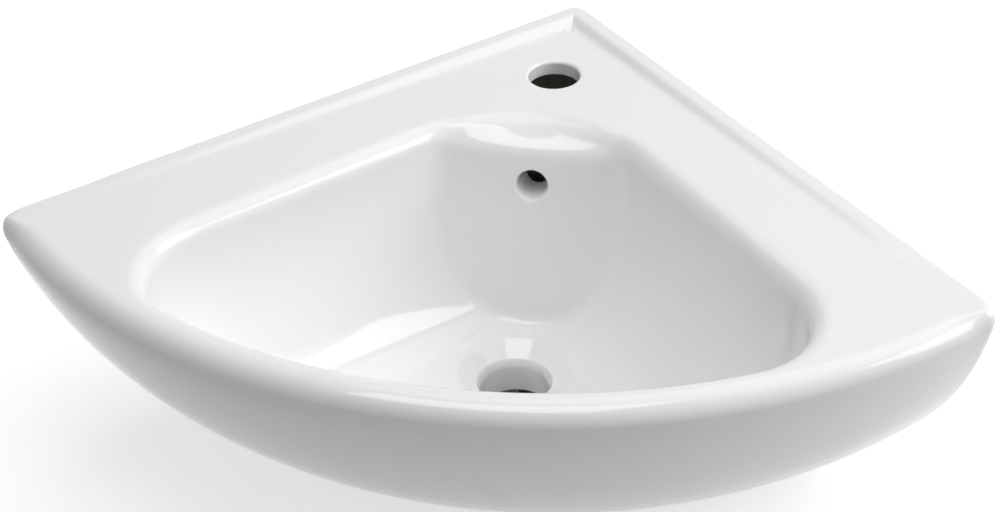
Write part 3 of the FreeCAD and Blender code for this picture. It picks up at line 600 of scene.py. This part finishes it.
# The space inside the apron and the wall flanges, open to the walls below the flanges.
def underSpace(b, x, y, z):
    right, left = (x + y) / math.sqrt(2), (y - x) / math.sqrt(2)
    wall = np.where(z > -b["flangeDepth"], b["flangeWall"], -b["belowFlange"])
    walls = roundMax(right + wall, left + wall, b["cornerRound"])
    across = np.hypot(x, y + b["centre"])
    centre, reach = b["innerApron"]
    arc = np.hypot(np.maximum(across - centre[0], 0), z - centre[1]) - reach
    opening = across - (b["radius"] - b["footInset"] - b["footWidth"])
    apron = np.where(z < -b["height"] + b["footStep"], opening, arc)
    return roundMax(walls, apron, b["underRound"])


# The bowl seen from below: its outline grown by the thickness of the wall.
def shellField(b, x, y, z):
    return outlineField(b, x, y, shrinkAt(b, z, b["bowlDepth"] + b["bowlWall"]), b["bowlWall"])


# Hollows the casting from below and leaves the bowl's shell, the waste boss and the duct.
def addUnderside(b, grid, body):
    gap = grid["levelGap"]  # a step of the section lies between two levels this far apart
    top, flange, foot = b["deckUnder"], -b["flangeDepth"], b["footStep"] - b["height"]
    levels = np.concatenate([
        [top - step for step in grid["roofSteps"]],
        np.linspace(top - grid["roofRun"], flange + gap, grid["flangeLevels"]),
        np.linspace(flange - gap, foot + gap, grid["footLevels"]),
        [foot - gap, -b["height"] - grid["hollowPast"]],
    ])
    hollow = stack(b, grid, "hollow", lambda x, y, z: underSpace(b, x, y, z), levels)

    turns = np.linspace(0, 1, grid["shellLevels"]) * math.pi / 2
    depths = (b["bowlDepth"] + b["bowlWall"]) * np.sin(turns) ** (2 / b["fullness"])
    levels = np.concatenate([[grid["shellTop"]], -b["deckDepth"] - depths])
    kept = [stack(b, grid, "shell", lambda x, y, z: shellField(b, x, y, z), levels)]
    low = -b["height"] - grid["toolPast"]
    kept.append(lathe("boss", pipe(b["boss"], low, b["floor"]), (0, -b["wasteReach"], 0), grid["turns"]))
    half = b["ductBore"] + b["ductWall"]
    kept.append(lathe("duct", pipe(half, low, grid["ductTop"]), (0, -b["ductReach"], 0), grid["ductTurns"]))
    near, far = -b["ductReach"], -b["wasteReach"]
    corners = [(-half, near), (half, near), (half, far), (-half, far)]
    bridge = [np.array([(x, y, level) for x, y in corners]) for level in (low, b["floor"])]
    kept.append(markGlaze(joinRings("bridge", bridge, closed=False), glazed=0))
    for piece in kept:
        cut(hollow, piece)
    cut(body, hollow)


# The funnel that softens a hole's edge: a quarter round that opens to the surface.
def flared(radius, rounding, inset=0.6, depthShare=1.2, above=6, steps=6):
    profile = [(radius - inset, -rounding * depthShare)]
    for k in range(1, steps + 1):
        angle = math.pi / 2 * k / steps
        profile.append((radius + rounding * (1 - math.cos(angle)), -rounding * (1 - math.sin(angle))))
    profile.append((radius + rounding, above))
    return profile


def addHoles(b, grid, body):
    past, turns, forward = grid["toolPast"], grid["turns"], (0, -1, 0)
    chamber = pipe(b["chamber"], -b["height"] - past, b["seat"] - b["lip"])
    cut(body, lathe("chamber", chamber, (0, -b["wasteReach"], 0), turns))

    deck = (0, -b["tapReach"], -b["deckDepth"])
    cut(body, lathe("tap", pipe(b["tapHole"], -grid["tapTool"], past), deck, turns, glazed=1))
    cut(body, lathe("tapRim", flared(b["tapHole"], b["tapLip"]), deck, turns, glazed=1))

    duct = (0, -b["ductReach"], -b["overflowDepth"])
    face = -b["panelReach"] - b["panelLean"] * (b["overflowDepth"] - b["panelTop"])
    bore = pipe(b["overflowHole"], 0, -face - b["ductReach"] + grid["overflowTool"])
    cut(body, lathe("overflow", bore, duct, turns, forward, glazed=1))
    funnel, edge = flared(b["overflowHole"], b["overflowLip"]), (0, face, -b["overflowDepth"])
    cut(body, lathe("overflowRim", funnel, edge, turns, (0, -1, b["panelLean"]), glazed=1))

    outlet = b["ductRise"] - b["height"]
    low, top = outlet - b["ductOutlet"] - b["ductSump"], b["overflowHole"] - b["overflowDepth"]
    cut(body, lathe("ductBore", pipe(b["ductBore"], low, top), (0, -b["ductReach"], 0), grid["ductTurns"]))
    passage = pipe(b["ductOutlet"], 0, b["wasteReach"] - b["ductReach"])
    cut(body, lathe("outlet", passage, (0, -b["ductReach"], outlet), grid["outletTurns"], forward))

    for side in (1, -1):
        inward = Vector((-side, -1, 0)).normalized()
        place = Vector((side, -1, 0)).normalized() * b["fixingReach"] - Vector((0, 0, b["fixingDepth"]))
        hole = pipe(b["fixingHole"], -past, b["flangeWall"] + past)
        cut(body, lathe("fixing", hole, place, grid["ductTurns"], inward))


def addBasin(b, grid):
    angle = columnAngles(b, grid, grid["columns"])
    reaches, heights = wallRings(b, grid, angle)
    waste = wasteRings(b, grid, angle, heights[0])
    deck = deckRings(b, grid, angle, reaches[-1])
    wall = [ringAt(b, angle, reach, height) for reach, height in zip(reaches, heights)]
    soft = np.array(wall + deck + outsideRings(b, grid, angle, deck[-1][:, 2]))
    near = soft[..., 2] > -b["deckDepth"] - grid["settleDepth"]
    soft[near] = settle(b, grid, soft)[near]
    below = waste[0].copy()
    below[:, 2] = -b["height"]
    body = markGlaze(joinRings("basin", [below] + waste + list(soft)), glazed=1)
    print("basin: outside and bowl,", len(body.data.polygons), "faces")
    addUnderside(b, grid, body)
    print("basin: underside,", len(body.data.polygons), "faces")
    addHoles(b, grid, body)
    faceOutward(body.data)
    print("basin: holes,", len(body.data.polygons), "faces")
    return body


basinPiece = addBasin(basin, basinGrid)


# Finishes. Every one takes its uneven tone and fine grain from the same node group. Depths are metres.
finishes = {
    "china": {
        "glaze": {
            "colour": (0.9, 0.905, 0.9), "roughness": 0.07, "patches": 7, "variation": 0.012,
            "grain": 260,
        },
        "bare": {
            "colour": (0.78, 0.76, 0.72), "roughness": 0.72, "patches": 42, "variation": 0.036,
            "grain": 2200,
        },
        # The hollow colour is painted shade: a dark clay that stands in for the shade in the closed space
        # under the basin, in the chamber, the duct and the fixing holes.
        "hollow": (0.3, 0.285, 0.26),
        "glazeDepth": 0.00001, "bareDepth": 0.00006, "bareSkin": 0.0006,
    },
    "zincSteel": {
        "colour": (0.62, 0.63, 0.64), "roughness": 0.34, "patches": 90, "variation": 0.16, "grain": 1400,
        "metal": 1, "depth": 0.00003,
    },
    "greyNylon": {
        "colour": (0.42, 0.43, 0.45), "roughness": 0.46, "patches": 60, "variation": 0.05, "grain": 2600,
        "metal": 0, "depth": 0.00002,
    },
    "whiteNylon": {
        "colour": (0.83, 0.83, 0.8), "roughness": 0.42, "patches": 60, "variation": 0.03, "grain": 2600,
        "metal": 0, "depth": 0.00002,
    },
}


# A math node that takes sockets or plain numbers.
def calculate(tree, operation, *values):
    node = tree.nodes.new("ShaderNodeMath")
    node.operation = operation
    for socket, value in zip(node.inputs, values):
        if isinstance(value, (int, float)):
            socket.default_value = value
        else:
            tree.links.new(value, socket)
    return node.outputs[0]


def addNoise(tree, place, scale, detail):
    noise = tree.nodes.new("ShaderNodeTexNoise")
    noise.inputs["Detail"].default_value = detail
    tree.links.new(place.outputs["Object"], noise.inputs["Vector"])
    tree.links.new(scale, noise.inputs["Scale"])
    return noise.outputs["Fac"]


# Varies a colour and a roughness over the surface, and gives the height of a fine grain.
def addUnevenGroup():
    tree = bpy.data.node_groups.new("unevenSurface", "ShaderNodeTree")
    for name, kind, start in (
        ("Colour", "NodeSocketColor", (0.8, 0.8, 0.8, 1)),
        ("Roughness", "NodeSocketFloat", 0.5),
        ("Patches", "NodeSocketFloat", 10.0),
        ("Variation", "NodeSocketFloat", 0.05),
        ("Grain", "NodeSocketFloat", 500.0),
    ):
        tree.interface.new_socket(name, in_out="INPUT", socket_type=kind).default_value = start
    tree.interface.new_socket("Colour", in_out="OUTPUT", socket_type="NodeSocketColor")
    tree.interface.new_socket("Roughness", in_out="OUTPUT", socket_type="NodeSocketFloat")
    tree.interface.new_socket("Height", in_out="OUTPUT", socket_type="NodeSocketFloat")
    given, result = tree.nodes.new("NodeGroupInput"), tree.nodes.new("NodeGroupOutput")
    place = tree.nodes.new("ShaderNodeTexCoord")

    patches = addNoise(tree, place, given.outputs["Patches"], 3)
    spread = calculate(tree, "MULTIPLY_ADD", patches, 2, -1)  # from -1 to 1
    share = calculate(tree, "MULTIPLY_ADD", spread, given.outputs["Variation"], 1)  # one and a little
    shade = tree.nodes.new("ShaderNodeVectorMath")
    shade.operation = "SCALE"
    tree.links.new(given.outputs["Colour"], shade.inputs[0])
    tree.links.new(share, shade.inputs["Scale"])
    tree.links.new(shade.outputs[0], result.inputs["Colour"])
    rough = calculate(tree, "DIVIDE", given.outputs["Roughness"], share)
    tree.links.new(rough, result.inputs["Roughness"])
    tree.links.new(addNoise(tree, place, given.outputs["Grain"], 2), result.inputs["Height"])
    return tree


unevenSurface = addUnevenGroup()


def placeUneven(tree, finish):
    node = tree.nodes.new("ShaderNodeGroup")
    node.node_tree = unevenSurface
    node.inputs["Colour"].default_value = (*finish["colour"], 1)
    for name in ("Roughness", "Patches", "Variation", "Grain"):
        node.inputs[name].default_value = finish[name.lower()]
    return node


def newMaterial(name):
    material = bpy.data.materials.new(name)
    material.use_nodes = True
    tree = material.node_tree
    return material, tree, tree.nodes["Principled BSDF"]


# Colour and roughness go straight to the shader, and the height through a bump.
def feedShader(tree, shader, colour, roughness, height, depth):
    tree.links.new(colour, shader.inputs["Base Color"])
    tree.links.new(roughness, shader.inputs["Roughness"])
    bump = tree.nodes.new("ShaderNodeBump")
    bump.inputs["Distance"].default_value = depth
    tree.links.new(height, bump.inputs["Height"])
    tree.links.new(bump.outputs["Normal"], shader.inputs["Normal"])


def addPlainFinish(name, finish):
    material, tree, shader = newMaterial(name)
    shader.inputs["Metallic"].default_value = finish["metal"]
    given = placeUneven(tree, finish).outputs
    feedShader(tree, shader, given["Colour"], given["Roughness"], given["Height"], finish["depth"])
    return material


# Mixes two sockets or values of one kind; the share picks the second.
def mixValues(tree, kind, share, first, second):
    mix = tree.nodes.new("ShaderNodeMix")
    mix.data_type = kind
    factor, low, high = [socket for socket in mix.inputs if socket.enabled]
    tree.links.new(share, factor)
    for socket, value in ((low, first), (high, second)):
        if isinstance(value, tuple):
            socket.default_value = (*value, 1)
        else:
            tree.links.new(value, socket)
    return next(socket for socket in mix.outputs if socket.enabled)


# Glossy glaze, with bare clay on the wall faces and under the foot, and in the hollow, chamber and duct a
# dark clay colour that is painted shade for the closed space under the basin.
def addChina(finish):
    material, tree, shader = newMaterial("glazedChina")
    note = tree.nodes.new("ShaderNodeAttribute")
    note.attribute_name = "glazed"
    glaze, bare = placeUneven(tree, finish["glaze"]), placeUneven(tree, finish["bare"])
    # Painted shade: faces noted as unglazed take the dark hollow colour, the others the bare clay colour.
    clayWithPaintedShade = mixValues(tree, "RGBA", note.outputs["Fac"], finish["hollow"], finish["bare"]["colour"])
    tree.links.new(clayWithPaintedShade, bare.inputs["Colour"])

    place = tree.nodes.new("ShaderNodeTexCoord")
    split = tree.nodes.new("ShaderNodeSeparateXYZ")
    tree.links.new(place.outputs["Object"], split.inputs[0])
    toWall = calculate(tree, "ADD", calculate(tree, "ABSOLUTE", split.outputs["X"]), split.outputs["Y"])
    offWall = calculate(tree, "LESS_THAN", toWall, -finish["bareSkin"])
    offFoot = calculate(tree, "GREATER_THAN", split.outputs["Z"], cadBox[0][2] + finish["bareSkin"])
    outside = calculate(tree, "MULTIPLY", note.outputs["Fac"], offWall)
    glazed = calculate(tree, "MULTIPLY", outside, offFoot)

    colour = mixValues(tree, "RGBA", glazed, bare.outputs["Colour"], glaze.outputs["Colour"])
    roughness = mixValues(tree, "FLOAT", glazed, bare.outputs["Roughness"], glaze.outputs["Roughness"])
    bareHeight = calculate(tree, "MULTIPLY", bare.outputs["Height"], finish["bareDepth"])
    glazeHeight = calculate(tree, "MULTIPLY", glaze.outputs["Height"], finish["glazeDepth"])
    height = mixValues(tree, "FLOAT", glazed, bareHeight, glazeHeight)
    feedShader(tree, shader, colour, roughness, height, 1)
    return material


basinPiece.data.materials.clear()
basinPiece.data.materials.append(addChina(finishes["china"]))
basinPiece.data.shade_smooth()
basinPiece.data.set_sharp_from_angle(angle=math.radians(basin["sharpAngle"]))
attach(basinPiece, "root")
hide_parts("basin_body")
print("basin is dressed")

# Fixings: the CAD solids, with the finishes of zinc-plated steel and moulded nylon.
fixingFinish = {
    "hanger_bolt": "zincSteel",
    "washer": "zincSteel",
    "nut": "zincSteel",
    "wall_plug": "greyNylon",
    "bush": "whiteNylon",
}
fixingMaterials = {}
for name in sorted(set(fixingFinish.values())):
    fixingMaterials[name] = addPlainFinish(name, finishes[name])
for part, finish in fixingFinish.items():
    for side in ("left", "right"):
        for slot in bpy.data.objects[f"{part}_{side}"].material_slots:
            slot.material = fixingMaterials[finish]
print("fixings are dressed")
